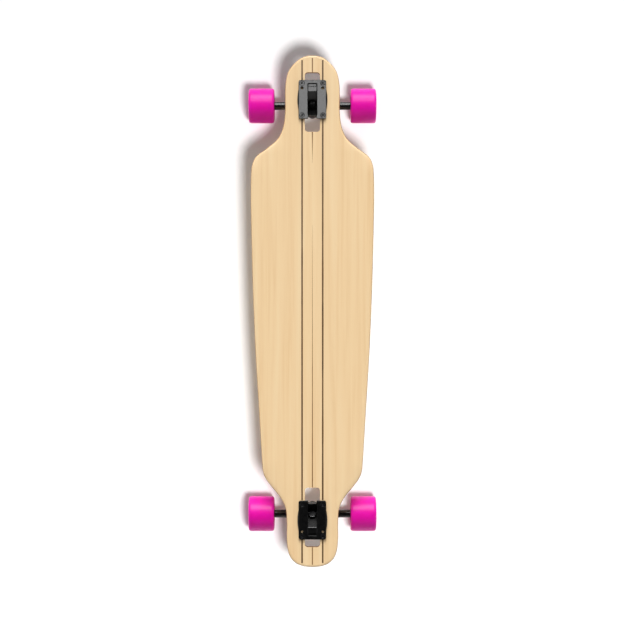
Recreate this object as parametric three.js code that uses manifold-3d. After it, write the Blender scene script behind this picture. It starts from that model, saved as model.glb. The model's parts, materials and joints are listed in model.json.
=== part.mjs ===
// A drop-through longboard: a laminated maple deck, two reverse-kingpin trucks whose baseplates sit on
// top of the deck and reach down through its cutouts, and four urethane wheels on ball bearings.
// Millimetres, +Z up, +Y towards the nose, origin on the floor under the middle of the deck.
import * as THREE from 'three';
import { mergeVertices } from 'three/addons/utils/BufferGeometryUtils.js';
import Module from 'manifold-3d';

const wasm = await Module();
wasm.setup();

// ---- Driving dimensions ---------------------------------------------------------------------------

const GAP = 0.3; // clearance between pieces that seat on or turn in each other
const BOND = 0.1; // clearance between bonded, pressed or bolted faces
const OVERCUT = 2; // how far a cutter runs past the faces it opens

const DECK_THICKNESS = 11;
const DECK_TOP = 102; // height of the flat middle of the deck above the floor
const CONCAVE = 6; // how far the rails rise above the flat middle
const CONCAVE_POWER = 1.6; // how slowly the rise begins beside the flat middle
const FLAT_SHARE = 0.42; // share of the half width that stays flat
const RAIL_CHAMFER = 2.5;

const FRONT_PLATE_Y = 420; // centre of the truck's bolt pattern
const REAR_PLATE_Y = -414;
const CUTOUT = { width: 30, outer: 54, inner: -64, radius: 6 }; // ends measured outward from the bolt pattern

const BOLT_X = 20.64; // 1 5/8 inch across
const BOLT_U = 31.75; // 2 1/2 inch along
const SPARE_HOLE_U = BOLT_U - 9.52; // in the plate only: gives the 2 1/8 inch pattern with the inner pair
const BOLT_R = 2.4;
const BOLT_HEAD_R = 4.4;
const BOLT_HOLE_R = BOLT_R + GAP;

const PLATE = { halfWidth: 27.4, outer: 38, inner: -38.8, thickness: 6, corner: 4 };
const FLARE = { out: 2.4, length: 42, height: 4.4 }; // the foot that swells from each long side of the plate
const POCKET_HALF = 9.3;
const POCKET_FLOOR = 1.5; // the pocket's shallow floor above the deck's top
const POCKET_MOUTH = { y: -36, width: 17, length: 10 }; // where the pocket runs out through the inner end

const STEER_ANGLE = THREE.MathUtils.degToRad(45); // steering axis above the horizontal, rising outward
const AXLE_U = -3; // axle, measured outward from the bolt pattern's centre
const AXLE_Z = 35; // axle above the floor
const AXLE_BACK = 32; // axle behind the kingpin, along the steering axis
const RAKE = 3; // axle below the steering axis
const STEER_ARM = 90; // hanger's end face from the centre line

const KINGPIN_R = 4.76;
const KINGPIN_HEX_R = 8.25; // corner radius of a 9/16 inch hexagon
const SEAT_Z = 19; // bushing seat on the baseplate, above the hanger ring's middle
const KINGPIN_HEAD_Z = 33;

const WHEEL_R = 35;
const WHEEL_HALF = 26;
const WHEEL_X = 103; // middle of the wheel
const WHEEL_FACETS = 36;
const CORE_R = 19;
const BEARING = { outer: 11, width: 7, facets: 16 };
const SPACER_HALF = 5;
const AXLE_R = 4;
const AXLE_TIP = 124;

// ---- Materials ------------------------------------------------------------------------------------

const paint = (color, roughness, metalness = 0) =>
  new THREE.MeshStandardMaterial({ color, roughness, metalness });
const MAPLE = paint(0xeecf9f, 0.45);
const BLACK_CASTING = paint(0x0b0b0c, 0.38, 0.4);
const MAGENTA_URETHANE = paint(0xe6199f, 0.3);
const BLACK_URETHANE = paint(0x1a1a1c, 0.5);
const WHITE_CORE = paint(0xe9e6e2, 0.45);
const ZINC_STEEL = paint(0xb9bcc0, 0.3, 0.9);
const BLACK_STEEL = paint(0x161616, 0.4, 0.8);

// ---- Solids ---------------------------------------------------------------------------------------

function solid(geometry) {
  const loose = geometry.index ? geometry.toNonIndexed() : geometry;
  const bare = new THREE.BufferGeometry().setAttribute('position', loose.getAttribute('position'));
  const merged = mergeVertices(bare, 1e-4);
  return new wasm.Manifold(new wasm.Mesh({
    numProp: 3,
    vertProperties: merged.attributes.position.array,
    triVerts: new Uint32Array(merged.index.array),
  }));
}

function geometryOf(body) {
  const { vertProperties, triVerts } = body.getMesh();
  const geometry = new THREE.BufferGeometry();
  geometry.setAttribute('position', new THREE.BufferAttribute(vertProperties, 3));
  geometry.setIndex(new THREE.BufferAttribute(triVerts, 1));
  return geometry;
}

const join = (first, ...rest) => rest.reduce((body, next) => body.add(solid(next)), solid(first));
const cut = (body, ...cutters) => cutters.reduce((left, next) => left.subtract(solid(next)), body);

// A solid of revolution about Z. The profile's points are [radius, height], anticlockwise, and it is closed
// or starts and ends on the axis.
function turned(profile, segments, phase = 0) {
  const points = profile.map(([radius, height]) => new THREE.Vector2(radius, height));
  return new THREE.LatheGeometry(points, segments, phase).rotateX(Math.PI / 2);
}

// The same about X, with heights along +X.
const turnedX = (profile, segments, phase) => turned(profile, segments, phase).rotateY(Math.PI / 2);

// The same about Y, with heights along +Y.
const turnedY = (profile, segments) => turned(profile, segments).rotateX(-Math.PI / 2);

const rod = (radius, low, high) => [[0, low], [radius, low], [radius, high], [0, high]];
const drill = (radius, low, high, segments = 10) => turned(rod(radius, low, high), segments);

function roundedRectangle(left, right, low, high, radius) {
  const shape = new THREE.Shape();
  shape.absarc(right - radius, high - radius, radius, 0, Math.PI / 2);
  shape.absarc(left + radius, high - radius, radius, Math.PI / 2, Math.PI);
  shape.absarc(left + radius, low + radius, radius, Math.PI, Math.PI * 1.5);
  shape.absarc(right - radius, low + radius, radius, Math.PI * 1.5, Math.PI * 2);
  shape.closePath();
  return shape;
}

// A plan outline (x, y) pulled up from one height to another.
function slab(shape, low, high, curveSegments = 4) {
  const options = { depth: high - low, bevelEnabled: false, curveSegments };
  return new THREE.ExtrudeGeometry(shape, options).translate(0, 0, low);
}

// A side outline (y, z) pulled out across X to both sides of the centre line.
function sideways(points, halfWidth) {
  const shape = new THREE.Shape(points.map(([y, z]) => new THREE.Vector2(y, z)));
  const geometry = new THREE.ExtrudeGeometry(shape, { depth: 2 * halfWidth, bevelEnabled: false });
  return geometry.translate(0, 0, -halfWidth).rotateX(Math.PI / 2).rotateZ(Math.PI / 2);
}

const block = (x, y, z, wide, long, high) => new THREE.BoxGeometry(wide, long, high).translate(x, y, z);

// ---- Deck -----------------------------------------------------------------------------------------

// Half width and distance along the board, nose first.
const OUTLINE = [
  [9, 508], [22, 503.5], [33, 495], [42.5, 485], [49.5, 472], [53.5, 452], [54.6, 428], [54.2, 400],
  [56.6, 374], [62, 355], [72, 339], [91, 323], [110, 308.5], [118.6, 294], [121.8, 272], [122.4, 215],
  [120.6, 130], [117.8, 30], [112.8, -85], [106.2, -195], [100, -297], [97.6, -319], [92, -333],
  [80, -349.5], [66.5, -366], [57.4, -381], [52.2, -398], [51, -425], [51.2, -450], [49.2, -472],
  [43.5, -489], [32.5, -500.5], [19, -506], [8, -508],
];
const ROWS_PER_SPAN = 2;
const COLUMNS = [-1, -0.7, -FLAT_SHARE, FLAT_SHARE, 0.7, 1];
const PLATFORM = { front: 275, rear: -300, fade: 70 }; // the concave fades out beyond these stations

function railRise(share, y) {
  const past = Math.max(0, (Math.abs(share) - FLAT_SHARE) / (1 - FLAT_SHARE));
  const fade = THREE.MathUtils.smoothstep(PLATFORM.front + PLATFORM.fade - y, 0, PLATFORM.fade)
    * THREE.MathUtils.smoothstep(y - PLATFORM.rear + PLATFORM.fade, 0, PLATFORM.fade);
  return CONCAVE * fade * past ** CONCAVE_POWER;
}

// One closed cross-section of the deck: across the top from left to right, round the right rail, back
// underneath and up round the left rail.
function deckSection([halfWidth, y]) {
  const top = COLUMNS.map((share) => [share * (halfWidth - RAIL_CHAMFER), y, DECK_TOP + railRise(share, y)]);
  const bottom = top.map(([x, , z]) => [x, y, z - DECK_THICKNESS]).reverse();
  const high = DECK_TOP + railRise(1, y) - RAIL_CHAMFER;
  const low = DECK_TOP + railRise(1, y) - DECK_THICKNESS + RAIL_CHAMFER;
  return [
    ...top, [halfWidth, y, high], [halfWidth, y, low],
    ...bottom, [-halfWidth, y, low], [-halfWidth, y, high],
  ];
}

function deckBlank() {
  const curve = new THREE.SplineCurve(OUTLINE.map((point) => new THREE.Vector2(...point)));
  const stations = curve.getPoints((OUTLINE.length - 1) * ROWS_PER_SPAN);
  const rows = stations.map((point) => deckSection(point.toArray()));
  const around = rows[0].length;
  const hub = around - 1; // the left rail's upper corner, which both ends are fanned from
  const last = (rows.length - 1) * around;
  const indices = [];
  for (let j = 0; j < around; j += 1) {
    const next = (j + 1) % around;
    for (let row = 0; row < last; row += around) {
      indices.push(row + j, row + around + j, row + next, row + next, row + around + j, row + around + next);
    }
  }
  for (let j = 0; j < hub - 1; j += 1) {
    indices.push(hub, j, j + 1, last + hub, last + j + 1, last + j);
  }
  const geometry = new THREE.BufferGeometry();
  geometry.setAttribute('position', new THREE.Float32BufferAttribute(rows.flat(2), 3));
  geometry.setIndex(indices);
  return geometry;
}

function deckCutters(plateY, outward) {
  const ends = [plateY + outward * CUTOUT.inner, plateY + outward * CUTOUT.outer].sort((a, b) => a - b);
  const low = DECK_TOP - DECK_THICKNESS - OVERCUT;
  const high = DECK_TOP + OVERCUT;
  const half = CUTOUT.width / 2;
  const window = slab(roundedRectangle(-half, half, ...ends, CUTOUT.radius), low, high);
  const holes = [BOLT_U, -BOLT_U].flatMap((u) =>
    [-BOLT_X, BOLT_X].map((x) => drill(BOLT_HOLE_R, low, high).translate(x, plateY + outward * u, 0)));
  return [window, ...holes];
}

const deck = () =>
  cut(solid(deckBlank()), ...deckCutters(FRONT_PLATE_Y, 1), ...deckCutters(REAR_PLATE_Y, -1));

// ---- Truck: X across, Y outward from the bolt pattern's centre, Z up from the deck's top ------------

const KINGPIN_Y = AXLE_U + AXLE_BACK * Math.cos(STEER_ANGLE) - RAKE * Math.sin(STEER_ANGLE);
const KINGPIN_Z = AXLE_Z - DECK_TOP + AXLE_BACK * Math.sin(STEER_ANGLE) + RAKE * Math.cos(STEER_ANGLE);

// A point given along the steering axis and along the kingpin, as (y, z) of the truck.
function steer(along, up) {
  const y = KINGPIN_Y + along * Math.cos(STEER_ANGLE) - up * Math.sin(STEER_ANGLE);
  const z = KINGPIN_Z + along * Math.sin(STEER_ANGLE) + up * Math.cos(STEER_ANGLE);
  return [y, z];
}

// Turns a piece made with Y along the steering axis and Z up the kingpin into the truck's frame.
const intoTruck = (geometry) => geometry.rotateX(STEER_ANGLE).translate(0, KINGPIN_Y, KINGPIN_Z);

const TOWER = { mouth: -42, end: -57, outer: 10.8, bore: 8.3, boreEnd: -54.4, shoulder: -52, tip: 7 };
const WEDGE_HALF = 14;
const WEDGE_LIP = 15; // how far the ramp runs past the kingpin
const BACK_WALL_TOP = -20;
const LAND = { low: 15.4, high: 25.1, top: 5 }; // the rib that crosses the pocket

function flareOutline(side) {
  const edge = side * (PLATE.halfWidth - 1);
  const out = side * (PLATE.halfWidth + FLARE.out);
  const half = FLARE.length / 2;
  const shape = new THREE.Shape();
  shape.moveTo(edge, -half);
  shape.bezierCurveTo(out, -half, out, -half * 0.7, out, 0);
  shape.bezierCurveTo(out, half * 0.7, out, half, edge, half);
  shape.closePath();
  return shape;
}

function wedge() {
  const outerY = steer(WEDGE_LIP, SEAT_Z)[0];
  return sideways([
    [outerY, 1], steer(WEDGE_LIP, SEAT_Z), steer(-40, SEAT_Z), steer(-43, 8), steer(-55, 6),
    [AXLE_U - 24, -64], [-35, 1],
  ].reverse(), WEDGE_HALF);
}

function tower() {
  const { mouth, end, outer, shoulder, tip } = TOWER;
  return intoTruck(turnedY([[0, end], [tip, end], [outer, shoulder], [outer, mouth], [0, mouth]], 16));
}

// The hollow that the kingpin's head is dropped into, open at the top and at the inner end.
function pocket() {
  const top = PLATE.thickness + 1;
  const [headY, headZ] = steer(0, KINGPIN_HEAD_Z);
  const floorEnd = headY + (POCKET_FLOOR - headZ) / Math.tan(STEER_ANGLE);
  return sideways([
    [-31.5, top], [-31.5, -6], steer(-9, KINGPIN_HEAD_Z), [floorEnd, POCKET_FLOOR], [31.5, POCKET_FLOOR],
    [31.5, top],
  ], POCKET_HALF);
}

function baseplate() {
  const { halfWidth, inner, outer, thickness, corner } = PLATE;
  const body = join(
    slab(roundedRectangle(-halfWidth, halfWidth, inner, outer, corner), BOND, thickness, 3),
    slab(flareOutline(-1), BOND, FLARE.height, 3),
    slab(flareOutline(1), BOND, FLARE.height, 3),
    wedge(),
    tower(),
  );
  const wallTop = thickness + 1;
  const mouth = POCKET_MOUTH;
  const mouthZ = (wallTop + BACK_WALL_TOP) / 2;
  const openEnd = block(0, mouth.y, mouthZ, mouth.width, mouth.length, wallTop - BACK_WALL_TOP);
  const sinkR = BOLT_HEAD_R + GAP;
  const countersink = [[0, 3.2], [BOLT_HOLE_R, 3.2], [sinkR, 5.5], [sinkR, 7], [0, 7]];
  const bolts = [BOLT_U, -BOLT_U].flatMap((u) => [-BOLT_X, BOLT_X].flatMap((x) => [
    drill(BOLT_HOLE_R, -1, 5).translate(x, u, 0),
    turned(countersink, 10).translate(x, u, 0),
  ]));
  const spares = [-BOLT_X, BOLT_X].map((x) => drill(BOLT_HOLE_R, -1, 7).translate(x, SPARE_HOLE_U, 0));
  const kingpinHole = intoTruck(drill(KINGPIN_R + GAP, SEAT_Z - 2, KINGPIN_HEAD_Z + 4, 12));
  const cupBore = intoTruck(turnedY(rod(TOWER.bore, TOWER.boreEnd, TOWER.mouth + 2), 16));
  const hollowed = cut(body, pocket(), openEnd, ...bolts, ...spares, kingpinHole, cupBore);
  const landY = (LAND.low + LAND.high) / 2;
  const land = block(0, landY, (LAND.top + 1) / 2, 2 * POCKET_HALF + 1, LAND.high - LAND.low, LAND.top - 1);
  return hollowed.add(solid(land));
}

// The urethane thimble that the hanger's pivot turns in.
function pivotCup() {
  const outer = TOWER.bore - GAP;
  return turnedY([
    [0, -54], [outer, -54], [outer, -43], [7.4, -43], [6.4, -47], [4.6, -51.8], [0, -52.6],
  ], 16);
}

const kingpin = () => join(
  turned(rod(KINGPIN_R, -32, KINGPIN_HEAD_Z + 1), 14),
  turned([
    [0, KINGPIN_HEAD_Z + GAP], [KINGPIN_HEX_R, KINGPIN_HEAD_Z + GAP], [KINGPIN_HEX_R, 38.4],
    [7, 39.4], [0, 39.4],
  ], 6),
);

const kingpinNut = () => cut(
  join(
    turned([[0, -26.5], [7, -26.5], [KINGPIN_HEX_R, -25.6], [KINGPIN_HEX_R, -19.6], [0, -19.6]], 6),
    turned(rod(6.4, -28.8, -26), 14),
  ),
  drill(KINGPIN_R + GAP, -30, -18, 14),
);

const boardBushing = () => turned(
  [[5.2, 3.3], [12, 3.3], [12.5, 4.6], [12.5, 17.4], [12, SEAT_Z - GAP], [5.2, SEAT_Z - GAP], [5.2, 3.3]], 16,
);

const roadBushing = () => turned(
  [[5.2, -17], [10, -17], [10.5, -16], [12.5, -5], [12, -3.3], [5.2, -3.3], [5.2, -17]], 16,
);

const roadWasher = () => turned([
  [5.2, -19.3], [12.4, -19.3], [13.2, -18.4], [13.2, -15], [11.6, -15], [11.6, -17.3], [5.2, -17.3],
  [5.2, -19.3],
], 16);

// The web between the kingpin ring and the axle tube, seen along the kingpin.
function hangerWeb() {
  const shape = new THREE.Shape();
  shape.moveTo(-15.5, 2);
  shape.bezierCurveTo(-17, -16, -26, -23, -50, -26);
  shape.lineTo(-50, -38);
  shape.lineTo(50, -38);
  shape.lineTo(50, -26);
  shape.bezierCurveTo(26, -23, 17, -16, 15.5, 2);
  shape.closePath();
  return slab(shape, -8, 4, 4);
}

function hanger() {
  const alongAxle = (geometry) => geometry.translate(0, -AXLE_BACK, -RAKE);
  const body = join(
    turned(rod(17, -7, 7), 20),
    hangerWeb(),
    alongAxle(turnedX([
      [0, -STEER_ARM], [8, -STEER_ARM], [8, -54], [9, -40], [9, 40], [8, 54], [8, STEER_ARM], [0, STEER_ARM],
    ], 16)),
    turnedY([[0, -51.4], [3.8, -50.8], [5.7, -47], [6.6, -43], [7, -38], [7, -30], [0, -30]], 12),
  );
  return cut(
    body,
    drill(8.5, -10, 10, 16),
    drill(13.2, 3, 10, 16),
    drill(13.2, -10, -3, 16),
    alongAxle(turnedX(rod(AXLE_R + GAP, -STEER_ARM - 1, STEER_ARM + 1), 12)),
  );
}

const axle = () => turnedX([
  [0, -AXLE_TIP], [3.2, -AXLE_TIP], [AXLE_R, -AXLE_TIP + 1], [AXLE_R, AXLE_TIP - 1], [3.2, AXLE_TIP],
  [0, AXLE_TIP],
], 12);

const mountingBolt = () => cut(
  solid(turned([
    [0, -18.5], [2, -18.5], [BOLT_R, -18], [BOLT_R, 3.5], [BOLT_HEAD_R, 5.5], [BOLT_HEAD_R, 5.9], [0, 5.9],
  ], 10)),
  turned(rod(1.9, 3.9, 7), 6),
);

const mountingNut = () => cut(
  join(
    turned(rod(4.62, -DECK_THICKNESS - 4, -DECK_THICKNESS - GAP), 6),
    turned(rod(3.7, -DECK_THICKNESS - 5.2, -DECK_THICKNESS - 3), 8),
  ),
  drill(BOLT_HOLE_R, -DECK_THICKNESS - 7, -DECK_THICKNESS, 8),
);

// ---- Wheel, in its own frame: X along the axle from the wheel's middle, outboard positive ----------------

function wheelTyre() {
  const facet = Math.cos(Math.PI / WHEEL_FACETS); // flats, not corners, lie on the wheel's radius
  const side = [[CORE_R + BOND, 13], [24, WHEEL_HALF], [30.5, WHEEL_HALF], [33.8, 24.8], [WHEEL_R, 21.5]];
  const left = side.map(([radius, x]) => [radius / facet, -x]);
  const right = side.map(([radius, x]) => [radius / facet, x]).reverse();
  return turnedX([...left, ...right, left[0]], WHEEL_FACETS, Math.PI / WHEEL_FACETS);
}

// The moulded hub inside the urethane, with a bearing seat from each side.
const wheelCore = () => turnedX([
  [9.4, -SPACER_HALF], [BEARING.outer, -SPACER_HALF], [BEARING.outer, -12.6], [14.5, -13.4], [CORE_R, -12.4],
  [CORE_R, 12.4], [14.5, 13.4], [BEARING.outer, 12.6], [BEARING.outer, SPACER_HALF], [9.4, SPACER_HALF],
  [9.4, -SPACER_HALF],
], BEARING.facets);

// A bearing's outer race and its two shields: the balls run in the channel open towards the inner race.
function bearingShell(near) {
  const outer = BEARING.outer - BOND;
  const low = near + BOND;
  const high = near + BEARING.width;
  return turnedX([
    [6.5, low], [outer, low], [outer, high], [6.5, high], [6.5, high - 0.6], [9.3, high - 0.6],
    [9.3, low + 0.6], [6.5, low + 0.6], [6.5, low],
  ], BEARING.facets);
}

// What the axle nut clamps: speed washer, inner race, spacer, inner race, speed washer, face to face.
function sleeveStack() {
  const bore = AXLE_R + GAP;
  const race = 6.1;
  const washer = 0.7;
  const end = SPACER_HALF + BEARING.width + washer;
  return turnedX([
    [bore, -end], [race, -end], [race, -SPACER_HALF], [5.3, -SPACER_HALF], [5.3, SPACER_HALF],
    [race, SPACER_HALF], [race, end], [bore, end], [bore, -end],
  ], 12);
}

const axleNut = () => cut(
  join(
    turnedX([[0, 13], [7.3, 13], [7.3, 17.2], [6.6, 18], [0, 18]], 6),
    turnedX(rod(5.6, 17, 19.6), 10),
  ),
  turnedX(rod(AXLE_R + GAP, 12, 21), 10),
);

// ---- Assembly -------------------------------------------------------------------------------------

const board = new THREE.Group();

function put(parent, name, body, material, position = [0, 0, 0]) {
  const mesh = new THREE.Mesh(body.isBufferGeometry ? body : geometryOf(body), material);
  mesh.name = name;
  mesh.position.set(...position);
  parent.add(mesh);
}

function addWheel(parent, name, side) {
  const wheel = new THREE.Group();
  wheel.position.set(side * WHEEL_X, AXLE_U, AXLE_Z - DECK_TOP);
  wheel.rotation.z = side > 0 ? 0 : Math.PI;
  put(wheel, `${name}_wheel_tyre`, wheelTyre(), MAGENTA_URETHANE);
  put(wheel, `${name}_wheel_core`, wheelCore(), WHITE_CORE);
  put(wheel, `${name}_outboard_bearing`, bearingShell(SPACER_HALF), ZINC_STEEL);
  put(wheel, `${name}_inboard_bearing`, bearingShell(-SPACER_HALF - BEARING.width - BOND), ZINC_STEEL);
  put(wheel, `${name}_spacer_and_inner_races`, sleeveStack(), ZINC_STEEL);
  put(wheel, `${name}_axle_nut`, axleNut(), ZINC_STEEL);
  parent.add(wheel);
}

function addTruck(name, plateY, turn) {
  const truck = new THREE.Group();
  truck.position.set(0, plateY, DECK_TOP);
  truck.rotation.z = turn;
  put(truck, `${name}_baseplate`, baseplate(), BLACK_CASTING);

  const kingpinFrame = new THREE.Group();
  kingpinFrame.position.set(0, KINGPIN_Y, KINGPIN_Z);
  kingpinFrame.rotation.x = STEER_ANGLE;
  put(kingpinFrame, `${name}_pivot_cup`, pivotCup(), BLACK_URETHANE);
  put(kingpinFrame, `${name}_kingpin`, kingpin(), BLACK_STEEL);
  put(kingpinFrame, `${name}_kingpin_nut`, kingpinNut(), ZINC_STEEL);
  put(kingpinFrame, `${name}_board_bushing`, boardBushing(), MAGENTA_URETHANE);
  put(kingpinFrame, `${name}_road_bushing`, roadBushing(), MAGENTA_URETHANE);
  put(kingpinFrame, `${name}_road_washer`, roadWasher(), ZINC_STEEL);
  put(kingpinFrame, `${name}_hanger`, hanger(), BLACK_CASTING);
  truck.add(kingpinFrame);

  put(truck, `${name}_axle`, axle(), ZINC_STEEL, [0, AXLE_U, AXLE_Z - DECK_TOP]);
  const outward = Math.cos(turn);
  for (const side of [-1, 1]) {
    const hand = side * outward < 0 ? 'left' : 'right';
    addWheel(truck, `${name}_${hand}`, side);
    for (const end of [-1, 1]) {
      const place = `${hand}_${end > 0 ? 'outer' : 'inner'}`;
      const position = [side * BOLT_X, end * BOLT_U, 0];
      put(truck, `${name}_bolt_${place}`, mountingBolt(), BLACK_STEEL, position);
      put(truck, `${name}_nut_${place}`, mountingNut(), BLACK_STEEL, position);
    }
  }
  board.add(truck);
}

put(board, 'deck', deck(), MAPLE);
addTruck('front', FRONT_PLATE_Y, 0);
addTruck('rear', REAR_PLATE_Y, Math.PI);

export default board;
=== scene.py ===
import json
import math

import bmesh
import bpy
from mathutils import Matrix, Vector, noise

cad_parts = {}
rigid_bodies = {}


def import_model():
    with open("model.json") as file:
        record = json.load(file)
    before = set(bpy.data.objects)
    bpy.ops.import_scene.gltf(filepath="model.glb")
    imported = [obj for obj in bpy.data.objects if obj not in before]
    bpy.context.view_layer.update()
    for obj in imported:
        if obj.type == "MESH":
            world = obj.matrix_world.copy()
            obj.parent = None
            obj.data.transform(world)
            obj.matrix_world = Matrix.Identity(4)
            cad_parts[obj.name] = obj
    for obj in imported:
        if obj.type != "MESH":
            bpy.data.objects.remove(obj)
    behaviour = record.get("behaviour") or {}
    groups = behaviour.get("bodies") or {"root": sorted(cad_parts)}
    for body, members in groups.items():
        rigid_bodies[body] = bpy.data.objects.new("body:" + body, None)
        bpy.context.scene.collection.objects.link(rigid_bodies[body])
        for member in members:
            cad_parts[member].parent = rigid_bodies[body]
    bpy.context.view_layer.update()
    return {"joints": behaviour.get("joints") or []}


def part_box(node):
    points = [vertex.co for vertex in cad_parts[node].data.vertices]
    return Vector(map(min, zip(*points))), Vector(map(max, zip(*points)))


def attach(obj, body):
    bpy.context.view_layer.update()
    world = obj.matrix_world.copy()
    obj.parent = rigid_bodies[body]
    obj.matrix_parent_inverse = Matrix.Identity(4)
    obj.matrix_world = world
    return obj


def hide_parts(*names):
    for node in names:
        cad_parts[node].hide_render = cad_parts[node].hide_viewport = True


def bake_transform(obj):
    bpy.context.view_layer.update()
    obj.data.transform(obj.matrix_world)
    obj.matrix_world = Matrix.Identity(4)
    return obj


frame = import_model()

MM = 0.001
TRUCKS = ("front", "rear")
SIDES = ("left", "right")
ENDS = ("outer", "inner")


# ---- Places, all read from the frame ---------------------------------------------------------------

def centre(node):
    low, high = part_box(node)
    return (Vector(low) + Vector(high)) / 2


def axes(x, y, z, origin):
    """A placing matrix whose columns are the three given directions."""
    matrix = Matrix((x, y, z)).transposed().to_4x4()
    matrix.translation = origin
    return matrix


JOINTS = {joint["name"]: joint for joint in frame["joints"]}
DECK_UNDERSIDE = Vector(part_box("deck")[0]).z
PLATE_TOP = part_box("front_baseplate")[1][2]
PLATE_THICKNESS = 6 * MM
DECK_TOP = PLATE_TOP - PLATE_THICKNESS
DECK_THICKNESS = DECK_TOP - DECK_UNDERSIDE


def truck_place(truck):
    """Origin at the middle of the bolt pattern on the deck's top, X across, Y outward, Z up."""
    outward = 1 if truck == "front" else -1
    bolts = [centre(f"{truck}_bolt_{side}_{end}") for side in SIDES for end in ENDS]
    middle = sum(bolt.y for bolt in bolts) / len(bolts)
    return axes((outward, 0, 0), (0, outward, 0), (0, 0, 1), (0, middle, DECK_TOP))


def steer_place(truck):
    """Origin where the kingpin meets the steering axis, Y along the steering axis, Z up the kingpin."""
    joint = JOINTS[f"{truck}_steer"]
    along = Vector(joint["axis"]).normalized()
    across = Vector((1 if truck == "front" else -1, 0, 0))
    return axes(across, along, across.cross(along), Vector(joint["pos_m"]))


def steering_axis_place(truck):
    """The same origin, with Z along the steering axis."""
    return steer_place(truck) @ Matrix.Rotation(-math.pi / 2, 4, "X")


def across_place(middle, side):
    """Z along the axle, outward on the given side."""
    outward = 1 if side == "right" else -1
    return axes((0, 0, -outward), (0, 1, 0), (outward, 0, 0), middle)


# ---- Node materials ---------------------------------------------------------------------------------

def srgb(red, green, blue):
    def linear(value):
        value /= 255
        return value / 12.92 if value <= 0.04045 else ((value + 0.055) / 1.055) ** 2.4
    return (linear(red), linear(green), linear(blue), 1)


NOISE_ROUGHNESS = 0.55


class Shader:
    """A material being wired up: a Principled BSDF and the nodes before it."""

    def __init__(self, name, **sockets):
        self.material = bpy.data.materials.new(name)
        self.material.use_nodes = True
        self.tree = self.material.node_tree
        self.bsdf = self.tree.nodes["Principled BSDF"]
        for socket, value in sockets.items():
            self.bsdf.inputs[socket.replace("_", " ")].default_value = value

    def node(self, kind, inputs=None, **settings):
        made = self.tree.nodes.new(kind)
        for key, value in settings.items():
            setattr(made, key, value)
        for key, value in (inputs or {}).items():
            self.feed(made.inputs[key], value)
        return made

    def feed(self, socket, value):
        if isinstance(value, bpy.types.NodeSocket):
            self.tree.links.new(value, socket)
        else:
            socket.default_value = value

    def position(self, scale):
        """Row-frame position, stretched by a scale for each axis."""
        where = self.node("ShaderNodeTexCoord").outputs["Object"]
        return self.node("ShaderNodeMapping", {"Vector": where, "Scale": scale}).outputs["Vector"]

    def noise(self, scale, detail=3, distortion=0):
        inputs = {"Vector": self.position(scale), "Scale": 1, "Detail": detail, "Roughness": NOISE_ROUGHNESS,
                  "Distortion": distortion}
        return self.node("ShaderNodeTexNoise", inputs).outputs["Fac"]

    def ramp(self, factor, *stops):
        made = self.node("ShaderNodeValToRGB", {"Fac": factor})
        elements = made.color_ramp.elements
        while len(elements) < len(stops):
            elements.new(0.5)
        for element, (place, colour) in zip(elements, stops):
            element.position = place
            element.color = colour
        return made.outputs["Color"]

    def remap(self, value, low, high, new_low, new_high):
        inputs = {"Value": value, "From Min": low, "From Max": high, "To Min": new_low, "To Max": new_high}
        return self.node("ShaderNodeMapRange", inputs).outputs["Result"]

    def mix(self, factor, first, second):
        """A colour between two others."""
        made = self.node("ShaderNodeMix", data_type="RGBA")
        self.feed(made.inputs[0], factor)
        self.feed(made.inputs[6], first)
        self.feed(made.inputs[7], second)
        return made.outputs[2]

    def bump(self, height, distance, strength, before=None):
        inputs = {"Height": height, "Distance": distance, "Strength": strength}
        if before is not None:
            inputs["Normal"] = before
        return self.node("ShaderNodeBump", inputs).outputs["Normal"]

    def done(self, **links):
        for socket, value in links.items():
            self.feed(self.bsdf.inputs[socket.replace("_", " ")], value)
        return self.material


def maple(name, light, mid, dark):
    """Long, quiet grain along the board, with fine pores and broad changes of tone."""
    shader = Shader(name, Coat_Weight=0.12, Coat_Roughness=0.3, IOR=1.5, Specular_IOR_Level=0.34)
    broad = shader.noise((9, 0.9, 9), detail=2, distortion=0.6)
    streaks = shader.noise((95, 2.6, 95), detail=5, distortion=0.35)
    pores = shader.noise((900, 22, 900), detail=2)
    tone = shader.ramp(streaks, (0.25, dark), (0.5, mid), (0.78, light))
    tone = shader.mix(shader.remap(broad, 0.3, 0.7, 0, 0.55), tone, light)
    tone = shader.mix(shader.remap(pores, 0.58, 0.78, 0, 0.22), tone, dark)
    rough = shader.remap(streaks, 0.2, 0.8, 0.54, 0.44)
    normal = shader.bump(pores, 0.00006, 0.5)
    return shader.done(Base_Color=tone, Roughness=rough, Normal=normal)


def ply_edge(name, light, dark):
    """The veneers' cut ends in the cutouts and bolt holes, in level layers through the deck."""
    shader = Shader(name, Roughness=0.6)
    height = shader.node("ShaderNodeSeparateXYZ", {"Vector": shader.position((1, 1, 1))}).outputs["Z"]
    layer = shader.remap(height, DECK_TOP - DECK_THICKNESS, DECK_TOP, 0, PLIES / 2)
    wave = shader.node("ShaderNodeMath", {0: layer}, operation="FRACT").outputs[0]
    tone = shader.ramp(wave, (0.0, light), (0.47, light), (0.53, dark), (0.97, dark))
    speckle = shader.noise((700, 700, 700), detail=3)
    tone = shader.mix(shader.remap(speckle, 0.4, 0.75, 0, 0.35), tone, dark)
    return shader.done(Base_Color=tone, Normal=shader.bump(speckle, 0.0001, 0.4))


def stripe_ink(name, light, dark):
    shader = Shader(name, Coat_Weight=0.25, Coat_Roughness=0.3)
    streaks = shader.noise((300, 30, 300), detail=5, distortion=0.4)
    tone = shader.ramp(streaks, (0.3, dark), (0.7, light))
    return shader.done(Base_Color=tone, Roughness=shader.remap(streaks, 0.2, 0.8, 0.5, 0.38))


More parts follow.
